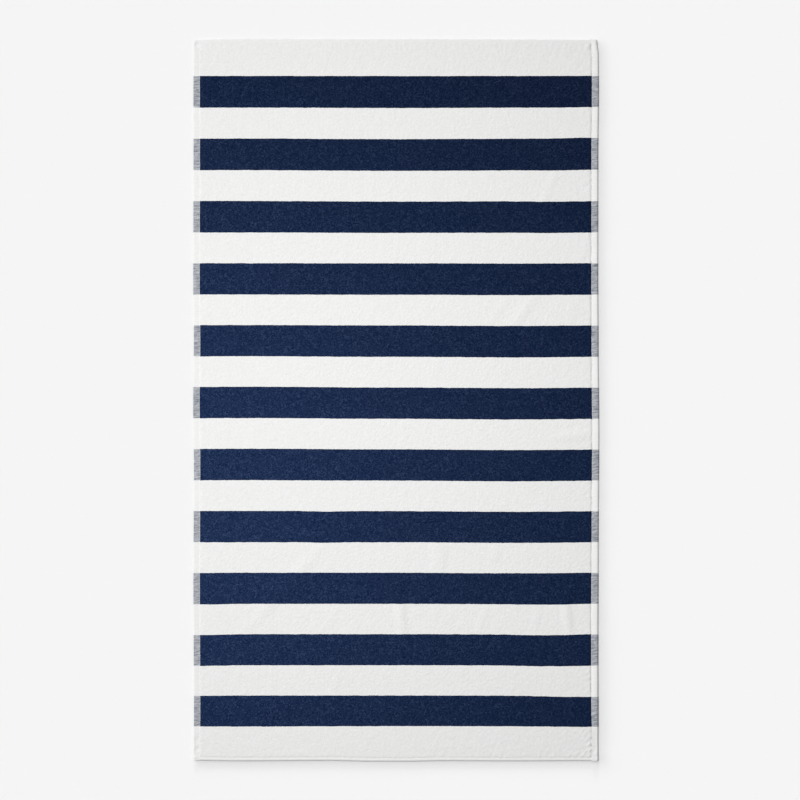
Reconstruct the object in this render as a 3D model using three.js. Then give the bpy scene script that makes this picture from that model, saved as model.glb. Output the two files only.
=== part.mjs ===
// A striped terry beach towel, laid out flat with its pile up.
//
// The towel is one piece of cloth: a terry body with loops on both faces, a plain-woven
// band along each side that is turned under as the side hem, and a narrow turned hem
// across each end. The frame is in millimetres: the towel's length lies along Y, its
// width along X, and Z is up from the surface it rests on.

import * as THREE from "three";

// ---- Driving dimensions ----------------------------------------------------------

const LENGTH = 1778; // 70 in
const WIDTH = 997; // a nominal 40 in cloth, a little drawn in by washing

const NAVY_STRIPES = 11;
const STRIPE = 76.1; // each stripe runs 3 in, navy and white alike
const STRIPE_EASE = 0.042; // stripes are beaten up a little tighter towards the bottom
const TOP_WHITE = 92.5; // plain white above the first navy stripe

const TERRY_THICKNESS = 3.6; // ground cloth and the loops on both faces
const SIDE_HEM_THICKNESS = 2.8; // plain weave, turned under twice
const END_HEM_THICKNESS = 3.5; // turned terry end with its loops flattened
const CORNER_THICKNESS = 4.2; // the end hem folded over the side hem
const STITCH_THICKNESS = 2.2; // where the sewing pulls the cloth in

const LEFT_HEM = 17;
const RIGHT_HEM = 19;
const END_HEM = 9;

const STITCH_SLOPE = 3; // how far from the sewing the cloth is pulled down
const FOLD_WIDTH = 3.2; // how far in from the edge the hem's fold is still round
const FOLD_INSET = 0.9; // how far the fold draws back above and below its middle
const FOLD_SHOULDER = 0.84; // height of the fold's upper shoulder, as a share of the hem
const CORNER_RADIUS = 5;
const EDGE_REACH = 70; // how far into the cloth a pull on its edge is felt

const COLUMNS = 40; // grid cells across the width
const LAYERS = 2; // the rim's lower and upper half

const WHITE = new THREE.Color(0xeceae4);
const NAVY = new THREE.Color(0x1e2b47);
const NAVY_WEAVE = new THREE.Color(0x9aa1ad); // navy weft over white warp, in the side hems

// ---- Tables ----------------------------------------------------------------------

// How far each edge lies inside the nominal rectangle, read along that edge.
const LEFT_EDGE = [
  { along: -889, inward: -0.5 },
  { along: -765, inward: 1.4 },
  { along: -615, inward: 0.8 },
  { along: -465, inward: 0 },
  { along: -160, inward: 1.3 },
  { along: -10, inward: -0.6 },
  { along: 145, inward: 1.2 },
  { along: 300, inward: -0.5 },
  { along: 600, inward: 0.3 },
  { along: 760, inward: 0 },
  { along: 889, inward: 1.5 },
];
const RIGHT_EDGE = [
  { along: -889, inward: 0 },
  { along: -765, inward: 0.4 },
  { along: -615, inward: 1 },
  { along: -310, inward: 0 },
  { along: -85, inward: -1.6 },
  { along: 145, inward: 0.1 },
  { along: 300, inward: 1.2 },
  { along: 600, inward: 0.9 },
  { along: 760, inward: -0.5 },
  { along: 850, inward: 0 },
  { along: 889, inward: 4 },
];
const TOP_EDGE = [
  { along: -498, inward: 4.3 },
  { along: -460, inward: 2.7 },
  { along: -375, inward: 0.5 },
  { along: -235, inward: 1.2 },
  { along: 95, inward: 1.4 },
  { along: 205, inward: 2.2 },
  { along: 380, inward: 3.4 },
  { along: 472, inward: 3.8 },
  { along: 482, inward: 2.3 },
  { along: 498, inward: 2.5 },
];
const BOTTOM_EDGE = [
  { along: -498, inward: 3.4 },
  { along: -460, inward: 2.2 },
  { along: -395, inward: 1.2 },
  { along: -170, inward: 2.2 },
  { along: -60, inward: 0.1 },
  { along: 25, inward: -0.2 },
  { along: 125, inward: 1.4 },
  { along: 280, inward: 0 },
  { along: 450, inward: 1.2 },
  { along: 498, inward: 1.6 },
];

// Soft creases that lift the cloth off the surface. `turn` is in degrees from +Y
// towards +X; `half_long` and `half_wide` reach to where the crease dies out.
const CREASES = [
  { x: 365, y: 529, half_long: 105, half_wide: 42, high: 1.8, turn: 22 },
  { x: 311, y: 222, half_long: 95, half_wide: 42, high: 1.8, turn: 38 },
  { x: 238, y: 214, half_long: 75, half_wide: 38, high: 1.1, turn: 52 },
  { x: 418, y: 212, half_long: 80, half_wide: 38, high: 1.1, turn: 5 },
  { x: 78, y: 430, half_long: 240, half_wide: 45, high: 1.1, turn: 3 },
  { x: 428, y: -79, half_long: 85, half_wide: 42, high: 1.8, turn: 83 },
  { x: -276, y: -462, half_long: 215, half_wide: 45, high: 2.2, turn: 42 },
  { x: 14, y: -548, half_long: 130, half_wide: 42, high: 2.5, turn: -4 },
  { x: 95, y: -388, half_long: 90, half_wide: 38, high: 1.2, turn: 0 },
  { x: 419, y: -528, half_long: 95, half_wide: 38, high: 1.4, turn: -8 },
  { x: 203, y: -540, half_long: 75, half_wide: 38, high: 0.9, turn: 20 },
  { x: -163, y: -548, half_long: 75, half_wide: 38, high: 0.9, turn: 35 },
  { x: -296, y: -769, half_long: 80, half_wide: 38, high: 0.9, turn: 25 },
];

// ---- Shape functions -------------------------------------------------------------

const { clamp, degToRad, lerp, smoothstep } = THREE.MathUtils;

/** The table's inward pull at a place along the edge, eased from row to row. */
function pullAt(table, place) {
  const next = Math.max(1, table.findIndex((row) => row.along >= place));
  const from = table[next - 1];
  const to = table[next];
  return lerp(from.inward, to.inward, smoothstep(place, from.along, to.along));
}

/** How strongly an edge's pull is felt at a distance from that edge: 1 to 0. */
function edgeShare(distance) {
  return 1 - smoothstep(distance, 0, EDGE_REACH);
}

/** Height that the creases lift the cloth at a point. */
function creaseLift(x, y) {
  return CREASES.reduce((lift, crease) => {
    const turn = degToRad(crease.turn);
    const dx = x - crease.x;
    const dy = y - crease.y;
    const along = (dx * Math.sin(turn) + dy * Math.cos(turn)) / crease.half_long;
    const across = (dx * Math.cos(turn) - dy * Math.sin(turn)) / crease.half_wide;
    const left = Math.max(0, 1 - along * along - across * across);
    return lift + crease.high * left * left;
  }, 0);
}

/** Grid lines that a hem needs, as distances from its edge. */
function hemLines(hem) {
  return [0, FOLD_WIDTH, hem - STITCH_SLOPE, hem, hem + STITCH_SLOPE];
}

/** Grid lines from side to side: set lines in each hem, even ones between them. */
function columnLines() {
  const left = hemLines(LEFT_HEM).map((line) => line - WIDTH / 2);
  const right = hemLines(RIGHT_HEM).map((line) => WIDTH / 2 - line).reverse();
  const start = left[left.length - 1];
  const cells = COLUMNS - left.length - right.length + 2;
  const between = Array.from({ length: cells - 1 }, (_, index) =>
    lerp(start, right[0], (index + 1) / cells),
  );
  return [...left, ...between, ...right];
}

/** The stripes' borders, from the top one down: white to navy, navy to white and so on. */
function stripeBorders() {
  const last = 2 * NAVY_STRIPES - 1;
  const first = LENGTH / 2 - TOP_WHITE;
  return Array.from(
    { length: last + 1 },
    (_, n) => first - n * STRIPE - STRIPE_EASE * n * (last - n),
  );
}

/** Grid lines from end to end: the hems', the stripe borders and one inside each stripe. */
function rowLines(borders) {
  const bottom = hemLines(END_HEM).map((line) => line - LENGTH / 2);
  const top = hemLines(END_HEM).map((line) => LENGTH / 2 - line).reverse();
  const innermost = bottom[bottom.length - 1];
  const stops = [innermost, ...[...borders].reverse(), top[0]];
  const inside = stops.slice(1).flatMap((stop, n) => [(stops[n] + stop) / 2, stop]);
  return [...bottom, ...inside, ...top.slice(1)];
}

/** Colour of the cloth at a place on the flat, uncreased cloth. */
function colourAt(x, y, borders) {
  const passed = borders.filter((border) => y < border).length;
  const inNavy = passed % 2 === 1;
  const inSideHem = x < LEFT_HEM - WIDTH / 2 || x > WIDTH / 2 - RIGHT_HEM;
  if (!inNavy) {
    return WHITE;
  }
  return inSideHem ? NAVY_WEAVE : NAVY;
}

/** Thickness away from the edges: hem, sewing line and terry, by distance from one edge. */
function thicknessBy(distance, hem, hemThickness) {
  const body = distance < hem ? hemThickness : TERRY_THICKNESS;
  const pull = 1 - clamp(Math.abs(distance - hem) / STITCH_SLOPE, 0, 1);
  return lerp(body, STITCH_THICKNESS, pull);
}

/** Thickness of the cloth, from its distances to the nearest side and the nearest end. */
function thicknessAt(side, sideHem, end) {
  const inSideHem = side < sideHem;
  const inEndHem = end < END_HEM;
  if (inSideHem && inEndHem) {
    return CORNER_THICKNESS;
  }
  return Math.min(
    thicknessBy(side, sideHem, SIDE_HEM_THICKNESS),
    thicknessBy(end, END_HEM, END_HEM_THICKNESS),
  );
}

/** Moves a point of the corner square onto a round corner; its two edges stay put. */
function roundCorner(side, end) {
  const a = Math.max(0, CORNER_RADIUS - side);
  const b = Math.max(0, CORNER_RADIUS - end);
  const far = Math.hypot(a, b);
  const keep = far > 0 ? Math.max(a, b) / far : 1;
  return { side: a * (1 - keep), end: b * (1 - keep) };
}

// ---- The cloth -------------------------------------------------------------------

/** The whole towel: a fine-gridded slab whose points are moved to the cloth's shape. */
function towelGeometry(borders) {
  const columns = columnLines();
  const rows = rowLines(borders);
  const slab = new THREE.BoxGeometry(1, 1, 1, COLUMNS, rows.length - 1, LAYERS);
  const points = slab.getAttribute("position");
  const flat = new THREE.BufferAttribute(new Float32Array(2 * points.count), 2);

  for (let i = 0; i < points.count; i++) {
    const column = Math.round((points.getX(i) + 0.5) * COLUMNS);
    const row = Math.round((points.getY(i) + 0.5) * (rows.length - 1));
    const level = points.getZ(i) + 0.5; // 0 under, 0.5 the rim's middle, 1 on top

    const x = columns[column];
    const y = rows[row];
    const toLeft = x + WIDTH / 2;
    const toRight = WIDTH / 2 - x;
    const toBottom = y + LENGTH / 2;
    const toTop = LENGTH / 2 - y;
    const side = Math.min(toLeft, toRight);
    const end = Math.min(toBottom, toTop);
    const sideHem = x < 0 ? LEFT_HEM : RIGHT_HEM;
    const onRim = side === 0 || end === 0;

    // The outline: pulls on the four edges, round corners, and the fold's inset.
    const corner = roundCorner(side, end);
    const inset = onRim && level !== 0.5 ? FOLD_INSET : 0;
    const sideIn = corner.side + (side === 0 ? inset : 0);
    const endIn = corner.end + (end === 0 ? inset : 0);
    const movedX =
      x +
      pullAt(LEFT_EDGE, y) * edgeShare(toLeft) -
      pullAt(RIGHT_EDGE, y) * edgeShare(toRight) -
      Math.sign(x) * sideIn;
    const movedY =
      y +
      pullAt(BOTTOM_EDGE, x) * edgeShare(toBottom) -
      pullAt(TOP_EDGE, x) * edgeShare(toTop) -
      Math.sign(y) * endIn;

    const shoulder = onRim ? FOLD_SHOULDER : 1;
    const top = thicknessAt(side, sideHem, end) * (level === 1 ? shoulder : 1);
    points.setXYZ(i, movedX, movedY, creaseLift(x, y) + top * level);
    flat.setXY(i, x, y);
  }

  slab.setAttribute("flat", flat);
  slab.computeVertexNormals();
  return slab;
}

/** The same geometry with each triangle in the colour of the stripe that it lies in. */
function paintStripes(geometry, borders) {
  const painted = geometry.toNonIndexed();
  const flat = painted.getAttribute("flat");
  const colours = new THREE.BufferAttribute(new Float32Array(3 * flat.count), 3);

  for (let i = 0; i < flat.count; i += 3) {
    const x = (flat.getX(i) + flat.getX(i + 1) + flat.getX(i + 2)) / 3;
    const y = (flat.getY(i) + flat.getY(i + 1) + flat.getY(i + 2)) / 3;
    const { r, g, b } = colourAt(x, y, borders);
    for (let corner = 0; corner < 3; corner++) {
      colours.setXYZ(i + corner, r, g, b);
    }
  }

  painted.setAttribute("color", colours);
  return painted;
}

const borders = stripeBorders();
const terry = new THREE.MeshStandardMaterial({
  name: "striped_terry",
  vertexColors: true,
  roughness: 0.95,
  metalness: 0,
});

const towelCloth = new THREE.Mesh(paintStripes(towelGeometry(borders), borders), terry);
towelCloth.name = "towel_cloth";

const towel = new THREE.Group();
towel.name = "beach_towel";
towel.add(towelCloth);

export default towel;
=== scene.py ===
# %% [markdown]
# # A striped beach towel
#
# The towel lies flat on a pale floor and is seen straight from above. It is one cotton cloth: a woven ground
# with loops of yarn, the pile, on both faces, woven in navy and white stripes from side to side. Its long
# sides and its two ends are folded over and sewn down as narrow hems.
#
# The frame holds the plain solid of the towel. This script dresses it: a ground cloth, one piece of pile for
# each stripe, four hems and the threads that sew them, each with a material of its own.

# %% The frame and the tools
import math

import bmesh
import bpy
import numpy as np
from mathutils import Matrix


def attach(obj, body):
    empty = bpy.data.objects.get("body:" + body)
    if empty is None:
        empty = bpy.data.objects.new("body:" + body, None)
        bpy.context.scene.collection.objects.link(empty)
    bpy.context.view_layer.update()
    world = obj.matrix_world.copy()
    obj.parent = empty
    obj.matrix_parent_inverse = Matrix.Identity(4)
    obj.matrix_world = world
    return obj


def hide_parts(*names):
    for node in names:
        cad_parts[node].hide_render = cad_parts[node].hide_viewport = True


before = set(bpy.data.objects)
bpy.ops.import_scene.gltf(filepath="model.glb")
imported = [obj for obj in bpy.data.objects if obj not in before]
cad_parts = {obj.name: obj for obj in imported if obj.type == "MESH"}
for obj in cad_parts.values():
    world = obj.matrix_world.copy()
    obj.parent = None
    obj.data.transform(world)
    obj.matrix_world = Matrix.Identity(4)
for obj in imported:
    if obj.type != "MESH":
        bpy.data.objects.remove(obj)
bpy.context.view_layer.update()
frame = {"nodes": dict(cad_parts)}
print("solids in the frame:", ", ".join(frame["nodes"]))

# %% [markdown]
# ## The camera
#
# It hangs six metres above the towel and looks straight down through a long lens, so the towel keeps the
# same scale everywhere. The frame is 1.966 m wide at the height of the pile, and its middle lies 9 mm to the
# right of the towel's.

# %% The camera
FRAME_WIDTH = 1.9664
FRAME_MIDDLE = (0.009, 0.0005)
PILE_LEVEL = 0.003
CAMERA_HEIGHT = 6.0
SENSOR = 36.0

lens = bpy.data.cameras.new("camera_above")
lens.sensor_width = SENSOR
lens.lens = SENSOR * CAMERA_HEIGHT / FRAME_WIDTH
lens.clip_end = 200
camera = bpy.data.objects.new("camera_above", lens)
camera.location = (*FRAME_MIDDLE, PILE_LEVEL + CAMERA_HEIGHT)
bpy.context.scene.collection.objects.link(camera)
bpy.context.scene.camera = camera
print("lens of", round(lens.lens, 1), "mm at", CAMERA_HEIGHT, "m")

# %% [markdown]
# ## The towel's own sizes
#
# The towel is 1778 mm long and 997 mm wide, like its solid. It has 11 navy stripes about 76.1 mm wide, with
# white ones of the same width between them. The weft is beaten up a little tighter towards the bottom, so
# the upper stripes are up to 0.8 mm wider and the lower ones as much narrower. The towel's edges and its
# right seam are never quite straight, so short tables say where they wander.

# %% Sizes
MM = 0.001
LENGTH = 1778 * MM
WIDTH = 997 * MM
NAVY_STRIPES = 11
BORDERS = 2 * NAVY_STRIPES
STRIPE = 76.1 * MM
STRIPE_EASE = 0.042 * MM
TOP_WHITE = 92.5 * MM

TERRY_THICKNESS = 3.6 * MM
LEFT_HEM = 16.3 * MM
RIGHT_HEM = 17.7 * MM
END_HEM = 9 * MM
CORNER_RADIUS = 5 * MM
EDGE_REACH = 70 * MM

# How far each edge is pulled inward from a straight line: (place along the edge, pull), in mm. The pull is
# felt as far as EDGE_REACH into the cloth.
LEFT_EDGE = (
    (-889, -0.7), (-765, 1.2), (-615, 0.6), (-465, -0.2), (-160, 1.1), (-10, -0.8), (145, 1), (300, -0.7),
    (600, 0.1), (760, -0.2), (889, 1.3),
)
RIGHT_EDGE = (
    (-889, 0.7), (-765, 1.0), (-615, 1.4), (-310, 0.7), (-85, -0.6), (145, 1.0), (300, 1.9), (600, 1.7),
    (760, 0.2), (850, 0.7), (889, 4.4),
)
TOP_EDGE = (
    (-498, 4.3), (-460, 2.7), (-375, 0.5), (-235, 1.2), (95, 1.2), (205, 1.7), (380, 2.4), (472, 3.0),
    (482, 1.8), (498, 2.2),
)
BOTTOM_EDGE = (
    (-498, 3.4), (-460, 2.3), (-395, 1.4), (-170, 2.5), (-60, 0.5), (25, 0.4), (125, 1.9), (280, 1.2),
    (450, 1.8), (498, 1.6),
)
# How far the right seam is pushed outward, written in the same way.
RIGHT_SEAM = (
    (-889, 1.3), (-820, 1.3), (-760, -0.9), (-450, -0.9), (-330, -0.3), (100, -0.3), (300, 0), (889, 0),
)
print("stripes repeat every", round(2 * STRIPE / MM, 1), "mm")

# %% [markdown]
# ## How the cloth lies
#
# Every piece is first thought of as flat and square, then settled by the same few functions, so that
# neighbours stay joined: the edges wander a few millimetres, and the cloth lifts in long soft creases.
# A crease is a low hump: x and y of its middle, half its length, half its width, its height in mm, and its
# turn from the long direction in degrees. The same kind of hump, laid in the plane of the cloth, says how far
# a stretch of a stripe's border has slipped down the towel.

# %% Creases and slips
CREASES = (
    (376, 524, 95, 17, 0.6, 22),
    (314, 219, 95, 20, 0.85, 38),
    (245, 211, 70, 15, 0.35, 38),
    (427, 214, 60, 15, 0.3, 5),
    (78, 430, 240, 30, 0.5, 3),
    (440, -86, 85, 19, 1.0, 83),
    (-276, -462, 215, 24, 1.0, 42),
    (12, -538, 120, 19, 1.5, -4),
    (104, -388, 80, 28, 1.1, 0),
    (419, -523, 85, 17, 1.7, -8),
    (208, -546, 70, 13, 0.36, 20),
    (-169, -546, 70, 13, 0.35, 35),
    (-296, -769, 50, 12, 0.25, 25),
    (344, -540, 60, 15, 0.35, 12),
    (124, -754, 45, 14, 0.3, -30),
    (243, -370, 50, 22, 0.4, 30),
    (-147, -688, 60, 14, 0.25, 30),
    (-148, 681, 50, 14, 0.2, -20),
    (-172, 856, 25, 14, 0.35, 0),
    (350, 140, 20, 60, 0.3, 0),
)
SLIPS = (
    (9, 566, 300, 420, 1.7, 0),
    (-360, -7, 380, 300, -1.8, 0),
    (280, -120, 760, 270, 1.8, 0),
    (-470, -575, 230, 100, 2.0, 0),
    (470, -726, 115, 150, 3.0, 0),
    (470, 643, 150, 100, -2.0, 0),
    (-175, -311, 90, 75, 1.6, 0),
    (50, -801, 60, 450, -1.0, 0),
    (370, -610, 230, 130, 2.2, 0),
    (390, 490, 160, 130, 1.6, 0),
)
print("creases:", len(CREASES), "and slips:", len(SLIPS))


# %% Settling the cloth
def eased(t):
    """A step from 0 to 1 with no corner at either end."""
    t = np.clip(t, 0, 1)
    return t * t * (3 - 2 * t)


def pull_at(edge, along):
    """How far an edge is pulled inward at a place along it, in metres."""
    place, pull = np.array(edge).T * MM
    i = np.clip(np.searchsorted(place, along) - 1, 0, len(place) - 2)
    share = eased((along - place[i]) / (place[i + 1] - place[i]))
    return pull[i] + (pull[i + 1] - pull[i]) * share


def low_end(y):
    """1 in the last 70 mm of the towel and 0 above them, with a soft step between."""
    return eased((-y - 0.78) / 0.04)


def settle(x, y):
    """The place where a point of the flat, square towel lies."""
    left = pull_at(LEFT_EDGE, y) * (1 - eased((x + WIDTH / 2) / EDGE_REACH))
    right = pull_at(RIGHT_EDGE, y) * (1 - eased((WIDTH / 2 - x) / EDGE_REACH))
    bottom = pull_at(BOTTOM_EDGE, x) * (1 - eased((y + LENGTH / 2) / EDGE_REACH))
    top = pull_at(TOP_EDGE, x) * (1 - eased((LENGTH / 2 - y) / EDGE_REACH))
    return x + left - right, y + bottom - top


def humps(table, x, y):
    """The sum of the low humps of a table at each place, in metres."""
    total = np.zeros_like(x)
    for middle_x, middle_y, half_long, half_wide, high, turn in table:
        dx, dy = x / MM - middle_x, y / MM - middle_y
        s, c = math.sin(math.radians(turn)), math.cos(math.radians(turn))
        along = (dx * s + dy * c) / half_long
        across = (dx * c - dy * s) / half_wide
        total += high * MM * np.maximum(0, 1 - along**2 - across**2) ** 2
    return total


corner_x, corner_y = settle(WIDTH / 2, LENGTH / 2)
print("the top right corner settles at", round(corner_x / MM, 1), "by", round(corner_y / MM, 1), "mm")


# %% Unevenness
def swell(x, y, size, seed):
    """A soft unevenness about one unit high, with waves about `size` long."""
    rng = np.random.default_rng(seed)
    total = np.zeros_like(x)
    for _ in range(10):
        angle, phase = rng.uniform(0, 2 * math.pi, 2)
        pace = 2 * math.pi / (size * rng.uniform(0.7, 1.5))
        total += np.sin(pace * (x * math.cos(angle) + y * math.sin(angle)) + phase)
    return total / 4.5


def puckers(along, from_end, seed):
    """The small waves that sewing draws along a seam. They grow towards the corners."""
    waves = swell(along, along * 0, 14 * MM, seed) * 0.5 + swell(along, along * 0, 45 * MM, seed + 1) * 0.5
    return waves * (1 + 2.5 * np.exp(-from_end / (25 * MM)))


# %% [markdown]
# ## A slab of cloth
#
# Each piece of cloth starts as the same thing, a closed slab one unit long and wide. A coarse grid is given
# thickness, and then only the face that will be seen is cut finely. So the pile has small faces above and
# large ones below, where the next layer hides them, and the mesh stays closed. The slab's points are then
# moved together by one function of their places in the unit square. The rims where a top meets a wall stay
# sharp, so that the wall doesn't darken or brighten the last row of the top.

# %% A slab
def slab(columns, rows, cuts, fine="upper"):
    """A closed unit slab. `fine` names the side that is cut: upper, lower or both."""
    bm = bmesh.new()
    bmesh.ops.create_grid(bm, x_segments=columns, y_segments=rows, size=0.5)
    bmesh.ops.solidify(bm, geom=bm.faces[:], thickness=0.1)
    middle = sum(v.co.z for v in bm.verts) / len(bm.verts)
    if fine == "both":
        edges = [e for e in bm.edges if (e.verts[0].co.z > middle) == (e.verts[1].co.z > middle)]
    else:
        wanted = fine == "upper"
        edges = [e for e in bm.edges if all((v.co.z > middle) == wanted for v in e.verts)]
    if cuts:
        bmesh.ops.subdivide_edges(bm, edges=edges, cuts=cuts, use_grid_fill=True)
    bmesh.ops.recalc_face_normals(bm, faces=bm.faces[:])
    return bm


# %% Giving a slab its shape
RIM_ANGLE = 60


def shaped(name, bm, shape):
    """Turns a slab into a piece. shape(u, v, upper) gives the x, y and z of its points."""
    mesh = bpy.data.meshes.new(name)
    bm.to_mesh(mesh)
    bm.free()
    unit = np.empty(len(mesh.vertices) * 3)
    mesh.vertices.foreach_get("co", unit)
    unit = unit.reshape(-1, 3)
    upper = unit[:, 2] > (unit[:, 2].min() + unit[:, 2].max()) / 2
    u, v = unit[:, 0] + 0.5, unit[:, 1] + 0.5
    points = np.stack(shape(u, v, upper), axis=1)
    mesh.vertices.foreach_set("co", points.ravel())
    mesh.shade_smooth()
    mesh.set_sharp_from_angle(angle=math.radians(RIM_ANGLE))
    draw_flat_map(mesh, u, v, upper)
    mesh.update()
    piece = bpy.data.objects.new(name, mesh)
    bpy.context.scene.collection.objects.link(piece)
    return piece


def draw_flat_map(mesh, u, v, upper):
    """A flat UV map: the upper side fills the square, the lower side a narrow strip below it."""
    corner = np.empty(len(mesh.loops), dtype=int)
    mesh.loops.foreach_get("vertex_index", corner)
    place = np.stack([u, np.where(upper, 0.06 + 0.94 * v, 0.05 * v)], axis=1)
    layer = mesh.uv_layers.new(name="OFBake")
    layer.data.foreach_set("uv", place[corner].ravel())


# %% Counting the borders
def note_borders(piece):
    """Stores at each point how many stripe borders lie above it, for a pattern of stripes to follow."""
    mesh = piece.data
    points = np.empty(len(mesh.vertices) * 3)
    mesh.vertices.foreach_get("co", points)
    x, y = points.reshape(-1, 3).T[:2]
    t = (LENGTH / 2 - TOP_WHITE - y - humps(SLIPS, x, y)) / STRIPE
    count = t - t * (BORDERS - 1 - t) * STRIPE_EASE / STRIPE
    note = mesh.attributes.new("borders_above", "FLOAT", "POINT")
    note.data.foreach_set("value", np.clip(count, -0.5, BORDERS - 0.5))


# %% [markdown]
# ## The pile, stripe by stripe
#
# Terry pile is thousands of small loops. From above they are a soft grain, and where two stripes meet the
# border is ragged by half a loop, with the navy loops leaning a little over the white ones. Each stripe is
# one piece with a face about every 2.3 mm, near the pitch of the loops. Every point is pushed a little up,
# down and sideways by seeded random numbers. Two stripes take the points of their border from the same
# numbers, so they meet without a gap. Beside the seams the stitches pull the pile down, most of all along
# the right hem.

# %% Where the stripes meet
PILE_COLUMNS = 52
PILE_ROWS = 4
PILE_CUTS = 7
FINE_COLUMNS = PILE_COLUMNS * (PILE_CUTS + 1)
FINE_ROWS = PILE_ROWS * (PILE_CUTS + 1)
PILE_LEFT = -WIDTH / 2 + LEFT_HEM - 0.5 * MM
PILE_RIGHT = WIDTH / 2 - RIGHT_HEM + 0.5 * MM
PILE_END = LENGTH / 2 - END_HEM + 0.4 * MM
PILE_FOOT = 1.0 * MM
LOOP_HEIGHT = 0.3 * MM
LOOP_SPREAD = 0.5 * MM
SEAM_SPREAD = 0.4 * MM
COLUMN_HEIGHT = 0.05 * MM
SWELL_HEIGHT = 0.08 * MM
BORDER_RAGGED = 0.3 * MM
BORDER_SWELL = 0.3 * MM
NAVY_OVER = 0.5 * MM
# The last columns of pile go along with the right seam, this many times as far as it goes.
SEAM_FOLLOWING = 1.4
# How much lower the pile lies in the row or column beside a seam, and in the next one.
LEFT_DROPS = (0.5 * MM, 0.1 * MM)
RIGHT_DROPS = (1.55 * MM, 0.6 * MM)
LOW_RIGHT_DROPS = (0.7 * MM, 0.4 * MM)
TOP_DROPS = (0.1 * MM, 0.017 * MM)
BOTTOM_DROPS = (0.7 * MM, 0.117 * MM)


def straight_border(n):
    """y of the border under stripe n, counted from the top: 0 is the foot of the top white stripe."""
    if n < 0:
        return PILE_END
    if n >= BORDERS:
        return -PILE_END
    return LENGTH / 2 - TOP_WHITE - n * STRIPE - STRIPE_EASE * n * (BORDERS - 1 - n)


def border(n, column):
    """The x, y and height offsets of the points of a border, one for each column."""
    rng = np.random.default_rng(100 + n)
    side, ragged, high = rng.uniform(-1, 1, (3, FINE_COLUMNS + 1))
    x = PILE_LEFT + np.arange(FINE_COLUMNS + 1) / FINE_COLUMNS * (PILE_RIGHT - PILE_LEFT)
    y = np.full_like(x, straight_border(n))
    if 0 <= n < BORDERS:
        y += BORDER_SWELL * swell(x, y, 40 * MM, 40 + n) - humps(SLIPS, x, y)
        y += NAVY_OVER if n % 2 == 0 else -NAVY_OVER
    y += BORDER_RAGGED * ragged
    x = x + LOOP_SPREAD * side * 0.6
    return x[column], y[column], high[column] * LOOP_HEIGHT


def beside(place, drops):
    """The drop of the pile at a row or column, counted from the seam."""
    return sum(drop * (place == count) for count, drop in enumerate(drops))


print("the top navy stripe runs from y =", round(straight_border(0), 3), "to", round(straight_border(1), 3))

# %% Ripples beside the sewing
SIDE_RIPPLE = 9.5 * MM
END_RIPPLE = 9 * MM
# How far in from an edge, in mm, the ripples have faded to a third of their height.
RIGHT_FADE = 28
LEFT_FADE = 24
END_FADE = 22
CORNER_FADE = 60


def ripples(x, y):
    """Short ripples that run from the seams into the pile and fade, strongest at the right corners."""
    from_right = (WIDTH / 2 - x) / MM
    from_left = (WIDTH / 2 + x) / MM
    from_end = (LENGTH / 2 - np.abs(y)) / MM
    corner = (1.1 - 0.4 * np.sign(y)) * np.exp(-from_end / CORNER_FADE)
    beside_right = np.exp(-from_right / RIGHT_FADE) * (0.5 + 1.2 * corner)
    beside_left = 0.3 * np.exp(-from_left / LEFT_FADE)
    beside_end = np.exp(-from_end / END_FADE) * (0.25 + 0.2 * eased(x / WIDTH + 0.5))
    slanting = swell(x + 0.5 * np.sign(y) * y, y * 0.5, SIDE_RIPPLE, 5)
    upright = swell(x, y * 0.35, END_RIPPLE, 6)
    return (slanting * (beside_right + beside_left) + upright * beside_end) * MM


# %% One stripe of pile
def pile_shape(n):
    """The shape of the stripe between borders n-1 and n."""

    def shape(u, v, upper):
        column = np.rint(u * FINE_COLUMNS).astype(int)
        row = np.rint(v * FINE_ROWS).astype(int)
        top_x, top_y, top_high = border(n - 1, column)
        low_x, low_y, low_high = border(n, column)
        rng = np.random.default_rng(200 + n)
        side, along, high = rng.uniform(-1, 1, (3, FINE_ROWS + 1, FINE_COLUMNS + 1))[:, row, column]
        column_high = np.random.default_rng(7).uniform(-1, 1, FINE_COLUMNS + 1)[column]
        inside = (row > 0) & (row < FINE_ROWS)
        even = PILE_LEFT + u * (PILE_RIGHT - PILE_LEFT)
        x = np.where(inside, even + LOOP_SPREAD * side, np.where(row == 0, low_x, top_x))
        x = np.where(column == 0, PILE_LEFT + SEAM_SPREAD * along, x)
        x = np.where(column == FINE_COLUMNS, PILE_RIGHT + SEAM_SPREAD * along, x)
        y = low_y + v * (top_y - low_y) + inside * LOOP_SPREAD * along
        high = np.where(inside, high * LOOP_HEIGHT, np.where(row == 0, low_high, top_high))
        x, y = settle(x, y)
        lift = humps(CREASES, x, y)

        from_right = FINE_COLUMNS - column
        x += SEAM_SPREAD * puckers(y, LENGTH / 2 - np.abs(y), 31) * (from_right == 0)
        x += SEAM_FOLLOWING * pull_at(RIGHT_SEAM, y) * np.clip(1 - from_right / 3, 0, 1)
        high += COLUMN_HEIGHT * column_high + SWELL_HEIGHT * swell(x, y, 32 * MM, 3)
        high += ripples(x, y) + TERRY_THICKNESS - 0.15 * MM
        high -= beside(column, LEFT_DROPS) + beside(from_right, RIGHT_DROPS)
        high -= beside(from_right, LOW_RIGHT_DROPS) * low_end(y)
        if n == 0:
            high -= beside(FINE_ROWS - row, TOP_DROPS)
        if n == BORDERS:
            high -= beside(row, BOTTOM_DROPS)
        return x, y, lift + np.where(upper, high, PILE_FOOT)

    return shape


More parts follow.
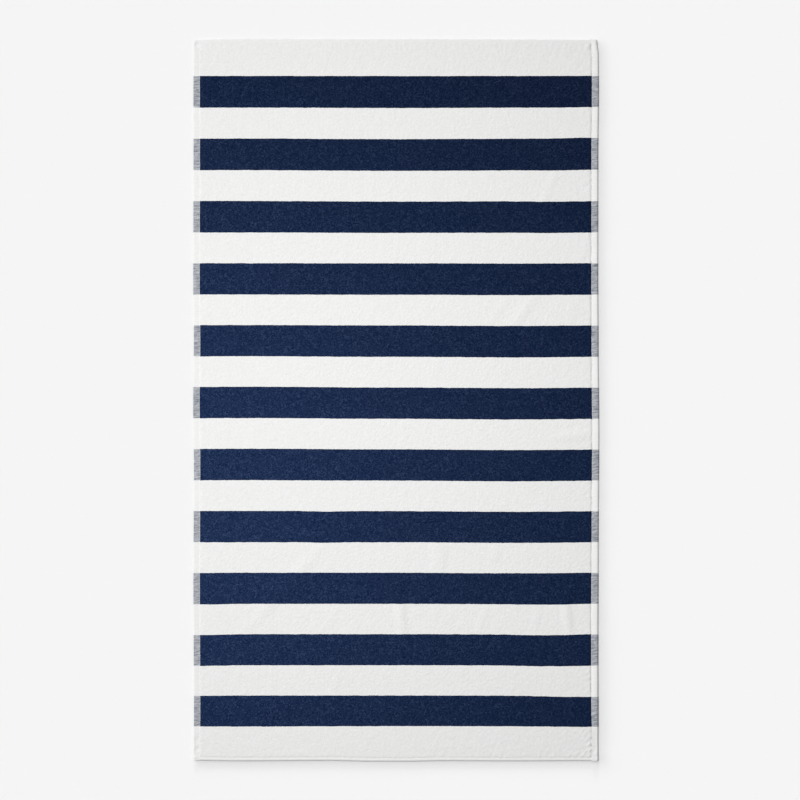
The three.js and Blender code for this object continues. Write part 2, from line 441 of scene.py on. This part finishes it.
stripes = {}
for n in range(BORDERS + 1):
    colour = "navy" if n % 2 else "white"
    name = f"pile_{n + 1:02d}_{colour}"
    stripes[name] = shaped(name, slab(PILE_COLUMNS, PILE_ROWS, PILE_CUTS), pile_shape(n))
print("stripes:", len(stripes), "each of", len(stripes["pile_01_white"].data.polygons), "faces")

# %% [markdown]
# ## The ground cloth
#
# The pile stands on a woven ground, whose other face is the towel's back. It is one thin closed sheet that
# reaches into all four hems. The upper side is hidden by the pile, so only the lower side is cut finely and
# gets a low pile of its own. It lies on the floor, except under the creases.

# %% The ground cloth
GROUND_COLUMNS = 52
GROUND_ROWS = 96
GROUND_CUTS = 2
GROUND_TOP = 1.8 * MM
BACK_FOOT = 0.05 * MM
BACK_LOOPS = 0.25 * MM
# How far the ground cloth reaches into the hems, and its foot and top at the rim there.
HEM_OVERLAP = 3 * MM
RIM_FOOT = 0.6 * MM
RIM_TOP = 1.4 * MM


def ground_shape(u, v, upper):
    """A thin sheet, thinner still at its rim inside the hems, and rough on its lower side."""
    left = -WIDTH / 2 + LEFT_HEM - HEM_OVERLAP
    right = WIDTH / 2 - RIGHT_HEM + HEM_OVERLAP
    end = LENGTH / 2 - END_HEM + HEM_OVERLAP
    rng = np.random.default_rng(11)
    high = rng.uniform(0, 1, len(u))
    x, y = settle(left + u * (right - left), end * (2 * v - 1))
    rim = (u < 1e-4) | (u > 1 - 1e-4) | (v < 1e-4) | (v > 1 - 1e-4)
    top = np.where(rim, RIM_TOP, GROUND_TOP)
    foot = np.where(rim, RIM_FOOT, BACK_FOOT + BACK_LOOPS * high)
    return x, y, humps(CREASES, x, y) + np.where(upper, top, foot)


ground = shaped("ground_cloth", slab(GROUND_COLUMNS, GROUND_ROWS, GROUND_CUTS, "lower"), ground_shape)
print("ground cloth:", len(ground.data.polygons), "faces")

# %% [markdown]
# ## The hems
#
# The side hems are plain woven strips without pile, folded under and sewn down near their inner edge, where
# the sewing pulls the cloth into a groove. They run from end to end over the end hems, so the corners are
# thicker. Each hem is a slab whose columns follow a profile: places across it and the height there, in mm.
# The right hem rolls down further to its outer edge than the left one. It also lies less evenly and grows
# fuller towards the bottom, where its last 70 mm are pressed flat.

# %% The profiles of the hems
LEFT_PROFILE = (
    (0, 2.5), (0.15, 2.85), (0.5, 3.03), (1.4, 3.1), (2.6, 3.07), (5, 2.93), (8, 2.7), (10.5, 2.5),
    (12, 2.35), (13, 2.15), (13.7, 2.1), (14.3, 2.2), (15, 2.3), (15.8, 2.25), (16.3, 1.9),
)
RIGHT_PROFILE = (
    (0, 0.4), (0.4, 0.9), (0.8, 1.4), (1.3, 1.95), (1.8, 2.5), (2.4, 3.05), (3.0, 3.48), (3.7, 3.74),
    (5.2, 3.8), (7.5, 3.67), (9.5, 3.5), (11.5, 3.28), (13.3, 3.03), (14.6, 2.8), (15.8, 2.5), (17.7, 2.0),
)
TOP_PROFILE = (
    (0, 2.6), (0.1, 3.0), (0.3, 3.22), (0.8, 3.33), (1.8, 3.36), (3, 3.36), (4.5, 3.35), (6, 3.3),
    (6.8, 3.2), (7.4, 3.15), (8, 3.2), (8.6, 3.25), (9, 3.2),
)
BOTTOM_PROFILE = (
    (0, 0.6), (0.4, 1.15), (0.9, 1.7), (1.5, 2.2), (2.3, 2.7), (3.2, 2.98), (4.6, 3.05), (6, 3.0),
    (6.9, 2.9), (7.5, 2.82), (8.1, 2.78), (8.6, 2.75), (9, 2.65),
)
# Small bumps and hollows of the side hems at the corners, in the same form as the creases.
CORNER_BUMPS = (
    (-490.5, 873, 10, 7, -1.4, 0),
    (-490.5, -836, 14, 7, -1.05, 0),
    (-490.5, -858, 10, 7, -1.05, 0),
    (-494, -877, 7, 5, 0.9, 0),
    (-490, -800, 14, 6, -0.5, 0),
    (491, -868, 11, 5, 0.8, 8),
    (488, 868, 14, 5, 0.7, -10),
)
# A fold's underside is rounded over ROLL. It rises by a share of the height, less the cloth's thickness.
ROLL = 2.4 * MM
FOLD_CLOTH = 0.3 * MM
FOOT_RISE = 0.6
HEM_ROWS = 800
END_HEM_ROWS = 400
END_SWELL = 0.5 * MM
# The side hems' height at their very ends, how much higher they may be past the roll, and the height of the
# right one where it is pressed flat.
TIP_HEIGHT = 1.2 * MM
TIP_RISE = 4.3 * MM
FLAT_HEIGHT = 3.6 * MM


def across(profile, u):
    """The place across a hem and the height there, for the columns of its slab."""
    place, high = np.array(profile).T * MM
    column = np.rint(u * (len(profile) - 1)).astype(int)
    return place[column], high[column]


def rolled_foot(out, top):
    """The underside of a fold: on the floor, but rounded up to the outer edge."""
    round_up = 1 - np.sqrt(1 - (1 - np.clip(out / ROLL, 0, 1)) ** 2)
    return np.maximum(top - FOLD_CLOTH, 0) * round_up * FOOT_RISE


# %% The shape of a side hem
def side_hem_shape(side, profile, seed, wavy, fuller, flat_end):
    """side is -1 for the left hem and 1 for the right one. wavy says how unevenly it lies, in mm, and fuller
    how much thicker it grows towards the bottom. flat_end is 1 where the last part is pressed flat."""
    wide = profile[-1][0] * MM

    def shape(u, v, upper):
        out, top = across(profile, u)
        # The rows stand closer together near the two ends.
        y = (v - 0.6 * np.sin(2 * math.pi * v) / (2 * math.pi) - 0.5) * LENGTH
        from_end = LENGTH / 2 - np.abs(y)
        waves = puckers(y, from_end, seed)
        near_seam = np.exp(-(((out - wide + 3 * MM) / (4 * MM)) ** 2))

        # From above: round corners, and a seam that the stitches draw into small waves.
        short = np.clip(CORNER_RADIUS - from_end, 0, CORNER_RADIUS)
        inset = CORNER_RADIUS - np.sqrt(CORNER_RADIUS**2 - short**2)
        out_now = inset + out * (wide - inset) / wide + (0.2 + 0.8 * wavy) * MM * waves * near_seam
        if side > 0:
            out_now -= pull_at(RIGHT_SEAM, y) * eased((out - 9 * MM) / (6 * MM))

        # Its height: fuller and then flat towards the bottom, uneven all along, swollen at the corners.
        lower, last = eased((-y - 0.35) / 0.4), low_end(y)
        top = top * (1 + fuller * (lower - 0.4 * last) * eased((wide - out) / (7 * MM)))
        top = top * (1 - flat_end * (0.2 * lower + 0.25 * last) * (1 - eased(out / (5 * MM))))
        top = top + flat_end * (FLAT_HEIGHT - top) * last * eased((out - 3 * MM) / (5 * MM))
        uneven = swell(y, y * 0, 45 * MM, seed + 5) + 0.4 * swell(y, y * 0, 16 * MM, seed + 6)
        top = top + 0.16 * MM * waves * near_seam + wavy * MM * uneven * eased(out / (3 * MM))
        top = top + END_SWELL * (1 - eased((from_end - 6 * MM) / (7 * MM))) * (out > 0.3 * MM)
        end_roll = np.sqrt(np.clip(1 - (1 - np.clip(from_end / ROLL, 0, 1)) ** 2, 0, 1))
        top = np.minimum(top, TIP_HEIGHT + TIP_RISE * end_roll)

        foot = rolled_foot(np.minimum(out, from_end), np.minimum(top, 2 * MM))
        x, y = settle(side * (WIDTH / 2 - out_now), y)
        top = top + humps(CORNER_BUMPS, x, y)
        return x, y, humps(CREASES, x, y) + np.where(upper, top, foot)

    return shape


# %% The side hems
def side_hem(name, side, profile, **habits):
    """A side hem. Its habits are the seed, wavy, fuller and flat_end."""
    bm = slab(len(profile) - 1, HEM_ROWS, 0, "both")
    return shaped(name, bm, side_hem_shape(side, profile, **habits))


left_hem = side_hem("left_hem", -1, LEFT_PROFILE, seed=21, wavy=0.1, fuller=0, flat_end=0)
right_hem = side_hem("right_hem", 1, RIGHT_PROFILE, seed=31, wavy=0.25, fuller=0.28, flat_end=1)
print("side hems:", len(left_hem.data.polygons), "faces each")


# %% The shape of an end hem
TUCK = 1.5 * MM


def end_hem_shape(side, profile, seed):
    """side is 1 for the top hem and -1 for the bottom one. They are tucked a little under the side hems."""
    left = -WIDTH / 2 + LEFT_HEM - TUCK
    right = WIDTH / 2 - RIGHT_HEM + TUCK

    def shape(u, v, upper):
        out, top = across(profile, v)
        x = left + u * (right - left)
        waves = puckers(x, WIDTH / 2 - np.abs(x), seed)
        near_seam = np.exp(-(((out - 7.2 * MM) / (3 * MM)) ** 2))
        out_now = out + 0.25 * MM * waves * near_seam
        top = top + 0.06 * MM * waves
        foot = rolled_foot(out, np.minimum(top, 2 * MM))
        x, y = settle(x, side * (LENGTH / 2 - out_now))
        return x, y, humps(CREASES, x, y) + np.where(upper, top, foot)

    return shape


# %% The end hems
def end_hem(name, side, profile, seed):
    bm = slab(END_HEM_ROWS, len(profile) - 1, 0, "both")
    return shaped(name, bm, end_hem_shape(side, profile, seed))


def turn_outwards(piece):
    """Turns the faces of a piece outwards. The right and the top hem are mirrored, so theirs point in."""
    bm = bmesh.new()
    bm.from_mesh(piece.data)
    bmesh.ops.recalc_face_normals(bm, faces=bm.faces[:])
    bm.to_mesh(piece.data)
    bm.free()


top_hem = end_hem("top_hem", 1, TOP_PROFILE, 51)
bottom_hem = end_hem("bottom_hem", -1, BOTTOM_PROFILE, 61)
hems = [left_hem, right_hem, top_hem, bottom_hem]
for piece in hems:
    turn_outwards(piece)
for piece in hems + [ground]:
    note_borders(piece)
print("end hems:", len(top_hem.data.polygons), "faces each")

# %% [markdown]
# ## The sewing
#
# A row of lockstitch in white thread holds each hem down. A stitch is a small spindle, just under 4 mm long,
# that dips into the cloth at both ends. It is made once from a sphere with few faces and repeated along the
# groove.

# %% A row of stitches
STITCH_PITCH = 5 * MM
STITCH_LONG = 3.9 * MM
THREAD = 0.85 * MM


def row_of_stitches(doublings):
    """Spindles one pitch apart along x. The row is doubled until it is long enough."""
    bm = bmesh.new()
    size = Matrix.Diagonal((STITCH_LONG / 2, THREAD / 2, THREAD / 2, 1))
    bmesh.ops.create_uvsphere(bm, u_segments=6, v_segments=5, radius=1, matrix=size)
    for step in range(doublings):
        row = bm.verts[:] + bm.edges[:] + bm.faces[:]
        copied = bmesh.ops.duplicate(bm, geom=row)["geom"]
        points = [e for e in copied if isinstance(e, bmesh.types.BMVert)]
        bmesh.ops.translate(bm, verts=points, vec=(STITCH_PITCH * 2**step, 0, 0))
    return bm


# %% Sewing from one place to another
def sewing(name, start, end, high, seed):
    """A row of stitches from start to end on the flat towel, at a height above the floor."""
    start, end = np.array(start), np.array(end)
    long = np.linalg.norm(end - start)
    forward = (end - start) / long
    bm = row_of_stitches(math.ceil(math.log2(long / STITCH_PITCH)))
    over = [v for v in bm.verts if round(v.co.x / STITCH_PITCH) > long / STITCH_PITCH - 1]
    bmesh.ops.delete(bm, geom=over, context="VERTS")
    mesh = bpy.data.meshes.new(name)
    bm.to_mesh(mesh)
    bm.free()
    points = np.empty(len(mesh.vertices) * 3)
    mesh.vertices.foreach_get("co", points)
    points = points.reshape(-1, 3)
    number = np.rint(points[:, 0] / STITCH_PITCH).astype(int)
    slant, height, aside = np.random.default_rng(seed).uniform(-1, 1, (3, number.max() + 1))[:, number]
    along = points[:, 0] + STITCH_LONG / 2
    sideways = points[:, 1] + 0.12 * slant * (points[:, 0] - number * STITCH_PITCH) + 0.1 * MM * aside
    x, y = settle(start[0] + forward[0] * along - forward[1] * sideways,
                  start[1] + forward[1] * along + forward[0] * sideways)
    points[:, 2] += humps(CREASES, x, y) + high + 0.05 * MM * height
    points[:, 0], points[:, 1] = x, y
    mesh.vertices.foreach_set("co", points.ravel())
    mesh.shade_smooth()
    mesh.update()
    piece = bpy.data.objects.new(name, mesh)
    bpy.context.scene.collection.objects.link(piece)
    return piece


# %% The four seams
# How far the seams lie from the towel's edges.
LEFT_SEAM_AT = 15.1 * MM
RIGHT_SEAM_AT = 16.8 * MM
END_SEAM_AT = 7.4 * MM


def side_sewing(name, x, high, seed):
    end = LENGTH / 2 - 5 * MM
    return sewing(name, (x, -end), (x, end), high, seed)


def end_sewing(name, y, high, seed):
    return sewing(name, (PILE_LEFT, y), (PILE_RIGHT, y), high, seed)


threads = [
    side_sewing("left_sewing", -WIDTH / 2 + LEFT_SEAM_AT, 2.25 * MM, 1),
    side_sewing("right_sewing", WIDTH / 2 - RIGHT_SEAM_AT, 2.6 * MM, 2),
    end_sewing("top_sewing", LENGTH / 2 - END_SEAM_AT, 3.05 * MM, 3),
    end_sewing("bottom_sewing", -LENGTH / 2 + END_SEAM_AT, 2.75 * MM, 4),
]
print("stitches have", sum(len(t.data.polygons) for t in threads), "faces in all")

# %% [markdown]
# ## Writing materials as sums
#
# A material is a tree of small nodes. Two helpers keep it readable: a Wire carries a value, and adding or
# multiplying wires adds the Math nodes; Finish.node makes any other node from its settings and sockets.

# %% Wires
class Wire:
    """A value on its way through a material. Arithmetic on it adds Math nodes."""

    def __init__(self, socket):
        self.socket = socket

    def math(self, operation, *terms):
        tree = self.socket.id_data
        node = tree.nodes.new("ShaderNodeMath")
        node.operation = operation
        for slot, term in zip(node.inputs, terms):
            if isinstance(term, Wire):
                tree.links.new(term.socket, slot)
            else:
                slot.default_value = term
        return Wire(node.outputs[0])

    def __add__(self, other):
        return self.math("ADD", self, other)

    def __sub__(self, other):
        return self.math("SUBTRACT", self, other)

    def __rsub__(self, other):
        return self.math("SUBTRACT", other, self)

    def __mul__(self, other):
        return self.math("MULTIPLY", self, other)

    def __mod__(self, other):
        return self.math("FLOORED_MODULO", self, other)

    def __abs__(self):
        return self.math("ABSOLUTE", self)

    def clamped(self):
        return self.math("MINIMUM", self.math("MAXIMUM", self, 0.0), 1.0)

    __radd__ = __add__
    __rmul__ = __mul__


# %% Finishes
class Finish:
    """A material being put together around one Principled shader."""

    def __init__(self, name):
        self.material = bpy.data.materials.new(name)
        self.material.use_nodes = True
        self.tree = self.material.node_tree
        self.shader = next(n for n in self.tree.nodes if n.type == "BSDF_PRINCIPLED")
        place = self.tree.nodes.new("ShaderNodeTexCoord")
        self.place = Wire(place.outputs["Object"])

    def node(self, kind, settings, sockets, out=0):
        made = self.tree.nodes.new(kind)
        for key, value in settings.items():
            setattr(made, key, value)
        for key, value in sockets.items():
            if isinstance(value, Wire):
                self.tree.links.new(value.socket, made.inputs[key])
            else:
                made.inputs[key].default_value = value
        return Wire(made.outputs[out])

    def stretched(self, scale):
        return self.node("ShaderNodeVectorMath", {"operation": "MULTIPLY"}, {0: self.place, 1: scale})

    def leaning(self, long, short, lean):
        """Places stretched so that lumps of grain become `long` by `short` mm and lean by an angle."""
        settings = {"vector_type": "TEXTURE"}
        sockets = {"Vector": self.place, "Rotation": (0, 0, lean), "Scale": (long * MM, short * MM, 1)}
        return self.node("ShaderNodeMapping", settings, sockets)

    def grain(self, scale, detail=2.0, at=None):
        """Soft noise around 0.5, with `scale` lumps to the metre."""
        sockets = {"Vector": at or self.place, "Scale": scale, "Detail": detail}
        return self.node("ShaderNodeTexNoise", {}, sockets)

    def loops(self, scale, at=None):
        """A random value for each loop of yarn."""
        sockets = {"Vector": at or self.place, "Scale": scale, "Randomness": 1.0}
        colour = self.node("ShaderNodeTexVoronoi", {}, sockets, "Color")
        return self.node("ShaderNodeSeparateXYZ", {}, {0: colour}, 0)

    def mixed(self, share, first, second):
        """A colour between two colours."""
        sockets = {"Factor": share, 6: first, 7: second}
        return self.node("ShaderNodeMix", {"data_type": "RGBA"}, sockets, 2)

    def set(self, **values):
        for key, value in values.items():
            slot = self.shader.inputs[key.replace("_", " ")]
            if isinstance(value, Wire):
                self.tree.links.new(value.socket, slot)
            else:
                slot.default_value = value

    def bump(self, height, distance, strength):
        sockets = {"Height": height, "Distance": distance, "Strength": strength}
        self.set(Normal=self.node("ShaderNodeBump", {}, sockets))


# %% [markdown]
# ## Cotton
#
# Cotton loops are matt: almost all their light is diffuse. White loops differ by only a few percent. Navy
# loops differ much more, because a dark loop that catches the light shows beside one that lies in its own
# shade. The navy colour paints this light and shade in, as a wide spread of tone from loop to loop. The loops
# of one yarn stand in faint columns along the towel, and in places they are more tousled, so that they differ
# more.

# %% The white and the navy pile
def terry(name, dark, light, lean, column_share):
    """lean above 1 keeps most loops near the dark tone, with fewer light ones standing out; on the navy these
    light loops are painted glints. column_share is how much of the tone goes by the columns of loops."""
    finish = Finish(name)
    loop = finish.loops(430.0)
    fibre = finish.grain(900.0, 3.0)
    column = finish.grain(1.0, 1.0, finish.stretched((420.0, 70.0, 1.0)))
    patch = finish.grain(26.0, 2.0)
    tousled = (finish.grain(75.0, 2.0) - 0.5) * 3.0 + 1.0
    tone = ((loop - 0.5) * 0.9 + (fibre - 0.5) * 0.9) * tousled
    tone = tone + (column - 0.5) * column_share + (patch - 0.5) * 0.12
    tone = (tone + 0.5).clamped()
    finish.set(Base_Color=finish.mixed(tone.math("POWER", tone, lean), dark, light))
    finish.set(Roughness=(fibre * 0.12 + 0.86).clamped())
    finish.set(Specular_IOR_Level=0.02)
    curl = finish.node(
        "ShaderNodeTexVoronoi", {"feature": "SMOOTH_F1"}, {"Vector": finish.place, "Scale": 520.0}
    )
    finish.bump(curl * -0.8 + fibre * 0.5, 0.0006, 0.35)
    return finish.material


white_terry = terry("white_terry", (0.793, 0.793, 0.787, 1), (0.861, 0.861, 0.856, 1), 1.0, 0.3)
# The navy's wide range of tone paints the light that single loops catch and the shade between them.
navy_terry = terry("navy_terry", (0.0036, 0.0107, 0.0372, 1), (0.0218, 0.0366, 0.0840, 1), 2.0, 0.15)
for name, piece in stripes.items():
    piece.data.materials.append(navy_terry if name.endswith("navy") else white_terry)
print("stripes are", white_terry.name, "and", navy_terry.name)

# %% [markdown]
# ## Stripes drawn in a material
#
# The hems and the back cross all the stripes. Each of their points carries the count of the borders above it,
# and the material turns the count into colour: navy lies between borders 0 and 1, 2 and 3, and so on. On the
# back the two yarns change places, so navy and white swap.

# %% Stripes from the borders
def navy_share(finish, soft):
    """1 in the navy stripes and 0 in the white ones, with borders `soft` metres wide."""
    count = finish.node("ShaderNodeAttribute", {"attribute_name": "borders_above"}, {}, "Fac")
    depth = 0.5 - abs((count + 0.5) % 2.0 - 1.0)
    return (depth * (STRIPE / soft) + 0.5).clamped()


# %% The woven hems
def woven():
    """Plain weave: lines of weft that lean a little, crossed by finer and fainter lines of warp."""
    finish = Finish("woven_hem")
    navy = navy_share(finish, 1.5 * MM)
    weft = finish.grain(1.0, 2.0, finish.leaning(17, 3.6, 0.15))
    warp = finish.grain(1.0, 2.0, finish.leaning(1.4, 8, 0.0))
    patch = finish.grain(40.0, 2.0)
    tone = ((weft - 0.5) * 2.0 + (warp - 0.5) * 0.8 + (patch - 0.5) * 0.3 + 0.5).clamped()
    white = finish.mixed(tone, (0.81, 0.81, 0.804, 1), (0.88, 0.88, 0.876, 1))
    blue = finish.mixed(tone, (0.15, 0.17, 0.21, 1), (0.56, 0.575, 0.60, 1))
    finish.set(Base_Color=finish.mixed(navy, white, blue))
    finish.set(Roughness=(warp * 0.15 + 0.78).clamped())
    finish.set(Specular_IOR_Level=0.2, Sheen_Weight=0.04, Sheen_Roughness=0.5)
    finish.bump(weft * 0.7 + warp * 0.5, 0.0004, 0.4)
    return finish.material


woven_hem = woven()
for piece in hems:
    piece.data.materials.append(woven_hem)
print("hems are", woven_hem.name)


# %% The back
def back_terry():
    """The low pile of the back, with its stripes the other way round."""
    finish = Finish("back_terry")
    navy = 1.0 - navy_share(finish, 2.0 * MM)
    loop = finish.loops(330.0)
    fibre = finish.grain(800.0, 3.0)
    tone = ((loop - 0.5) * 0.5 + (fibre - 0.5) * 0.9 + 0.5).clamped()
    white = finish.mixed(tone, (0.79, 0.79, 0.778, 1), (0.87, 0.87, 0.865, 1))
    blue = finish.mixed(tone, (0.004, 0.009, 0.028, 1), (0.020, 0.038, 0.098, 1))
    finish.set(Base_Color=finish.mixed(navy, white, blue))
    finish.set(Roughness=(fibre * 0.12 + 0.86).clamped())
    finish.set(Specular_IOR_Level=0.12, Sheen_Weight=0.08, Sheen_Roughness=0.6)
    finish.bump(loop * 0.5 + fibre * 0.5, 0.0008, 0.4)
    return finish.material


ground.data.materials.append(back_terry())
print("the back is", ground.data.materials[0].name)


# %% The sewing thread
def sewing_thread():
    """White cotton thread, a little glossier than the cloth."""
    finish = Finish("sewing_thread")
    twist = finish.grain(1500.0, 2.0)
    finish.set(Base_Color=finish.mixed(twist, (0.76, 0.76, 0.74, 1), (0.9, 0.9, 0.88, 1)))
    finish.set(Roughness=(twist * 0.2 + 0.55).clamped(), Specular_IOR_Level=0.35)
    finish.bump(twist, 0.0001, 0.3)
    return finish.material


thread_finish = sewing_thread()
for piece in threads:
    piece.data.materials.append(thread_finish)
print("threads are", thread_finish.name)

# %% The plain solid
frame["nodes"]["towel_cloth"].data.materials.clear()
frame["nodes"]["towel_cloth"].data.materials.append(white_terry)
print("materials:", len(bpy.data.materials))

# %% [markdown]
# ## Joining the towel to the frame
#
# All pieces ride on the towel's one body. The ground cloth stands for the solid, which is hidden, with the
# pile, the hems and the threads on it.

# %% Joining
carried = list(stripes.values()) + hems + threads
towel_pieces = [ground] + carried
for piece in towel_pieces:
    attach(piece, "root")
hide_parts("towel_cloth")
print("pieces of the towel:", len(towel_pieces))

# %% [markdown]
# ## Floor and light
#
# The floor is plain and pale. A large soft lamp hangs over the left side of the towel, and a broad sun from
# the upper left, 35 degrees high, models the creases and the hems. The navy stripes have a lamp and a sun of
# their own, because light that suits the white pile would leave the navy one uneven.
#
# The floor has an even light of its own too, as it would fall off with distance under the towel's lamp. It
# comes from nine suns that light nothing else. The low ones from the left and from the top draw the soft
# shadow along the right and the bottom edge, and the wide one overhead keeps the rest pale.

# %% The floor
FLOOR_SIZE = 60.0
bm = bmesh.new()
bmesh.ops.create_grid(bm, x_segments=1, y_segments=1, size=FLOOR_SIZE / 2)
floor_mesh = bpy.data.meshes.new("floor")
bm.to_mesh(floor_mesh)
bm.free()
floor = bpy.data.objects.new("floor", floor_mesh)
bpy.context.scene.collection.objects.link(floor)
paper = Finish("pale_paper")
paper.set(Base_Color=paper.mixed(paper.grain(300.0), (0.798, 0.798, 0.798, 1), (0.802, 0.802, 0.802, 1)))
paper.set(Roughness=0.9, Specular_IOR_Level=0.0)
floor.data.materials.append(paper.material)
print("the floor is", FLOOR_SIZE, "m square")

# %% Making a lamp
def lit_only(made, pieces):
    """Lets a lamp light only these pieces. Every piece still throws its shadow."""
    group = bpy.data.collections.new(made.name + "_lights")
    for piece in pieces:
        group.objects.link(piece)
    made.light_linking.receiver_collection = group


def lamp(name, kind, place, target, pieces, **settings):
    """A lamp at a place, turned to its target, that the camera doesn't see."""
    light = bpy.data.lights.new(name, kind)
    for key, value in settings.items():
        setattr(light, key, value)
    made = bpy.data.objects.new(name, light)
    made.location = place
    aim = np.array(target) - np.array(place)
    up = math.atan2(math.hypot(aim[0], aim[1]), -aim[2])
    made.rotation_euler = (up, 0, math.atan2(aim[1], aim[0]) - math.pi / 2)
    made.visible_camera = False
    bpy.context.scene.collection.objects.link(made)
    lit_only(made, pieces)


def from_sky(azimuth, height, distance=5.0):
    """A place in the sky: azimuth in degrees from the right, turning left, and height in degrees."""
    a, h = math.radians(azimuth), math.radians(height)
    level = distance * math.cos(h)
    return (level * math.cos(a), level * math.sin(a), distance * math.sin(h))


# %% The towel's lamps
OVERHEAD_AT = (-0.45, 0.13)
OVERHEAD_HEIGHT = 2.45
OVER_NAVY_AT = (-0.64, -0.22)
OVER_NAVY_HEIGHT = 1.4
SUN_WIDTH = math.radians(10)
MIDDLE = (0, 0, 0)

navy_pieces = [piece for name, piece in stripes.items() if name.endswith("navy")]
other_pieces = [piece for piece in towel_pieces if piece not in navy_pieces]
upper_left = from_sky(135, 35)
lamp("overhead", "AREA", (*OVERHEAD_AT, OVERHEAD_HEIGHT), (*OVERHEAD_AT, 0), other_pieces,
     shape="DISK", size=1.2, energy=33.2)
lamp("over_navy", "AREA", (*OVER_NAVY_AT, OVER_NAVY_HEIGHT), (*OVER_NAVY_AT, 0), navy_pieces,
     shape="DISK", size=0.8, energy=27.3)
lamp("upper_left", "SUN", upper_left, MIDDLE, other_pieces, energy=1.95, angle=SUN_WIDTH)
lamp("upper_left_navy", "SUN", upper_left, MIDDLE, navy_pieces, energy=1.1, angle=SUN_WIDTH)
print("lamps of the towel:", len(bpy.data.lights))

# %% The floor's own suns
# Azimuth, height above the floor and width, all in degrees, and share of the floor's light. The shares add
# up to 0.83, and the air around gives the rest.
FLOOR_SUNS = (
    (95, 6, 6, 0.078),
    (113, 12, 12, 0.010),
    (131, 6, 6, 0.045),
    (131, 12, 12, 0.030),
    (158, 6, 6, 0.045),
    (180, 12, 12, 0.035),
    (135, 35, 12, 0.110),
    (165, 50, 12, 0.090),
    (0, 90, 140, 0.387),
)
FLOOR_LIGHT = 3.585

for azimuth, height, width, share in FLOOR_SUNS:
    lamp(f"floor_sun_{azimuth}_{height}", "SUN", from_sky(azimuth, height), MIDDLE, [floor],
         energy=FLOOR_LIGHT * share / math.sin(math.radians(height)), angle=math.radians(width))
print("suns of the floor:", len(FLOOR_SUNS))

# %% The air around
# The air gives a faint even light, and looks paler than that where it shows past the floor.
AIR_LIGHT = 0.194
AIR_LOOK = 0.8

world = bpy.data.worlds.new("pale_studio")
world.use_nodes = True
tree = world.node_tree
air = tree.nodes["Background"]
air.inputs["Color"].default_value = (1, 1, 1, 1)
air.inputs["Strength"].default_value = AIR_LIGHT
backdrop = tree.nodes.new("ShaderNodeBackground")
backdrop.inputs["Color"].default_value = (1, 1, 1, 1)
backdrop.inputs["Strength"].default_value = AIR_LOOK
path = tree.nodes.new("ShaderNodeLightPath")
seen = tree.nodes.new("ShaderNodeMixShader")
tree.links.new(path.outputs["Is Camera Ray"], seen.inputs[0])
tree.links.new(air.outputs[0], seen.inputs[1])
tree.links.new(backdrop.outputs[0], seen.inputs[2])
tree.links.new(seen.outputs[0], tree.nodes["World Output"].inputs["Surface"])
bpy.context.scene.world = world
bpy.context.scene.view_settings.view_transform = "Standard"
print("the air lights at", AIR_LIGHT, "and looks like", AIR_LOOK)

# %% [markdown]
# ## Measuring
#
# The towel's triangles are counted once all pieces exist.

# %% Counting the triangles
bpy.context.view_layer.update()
triangles = sum(len(p.vertices) - 2 for o in towel_pieces for p in o.data.polygons)
print("triangles in the towel:", triangles)
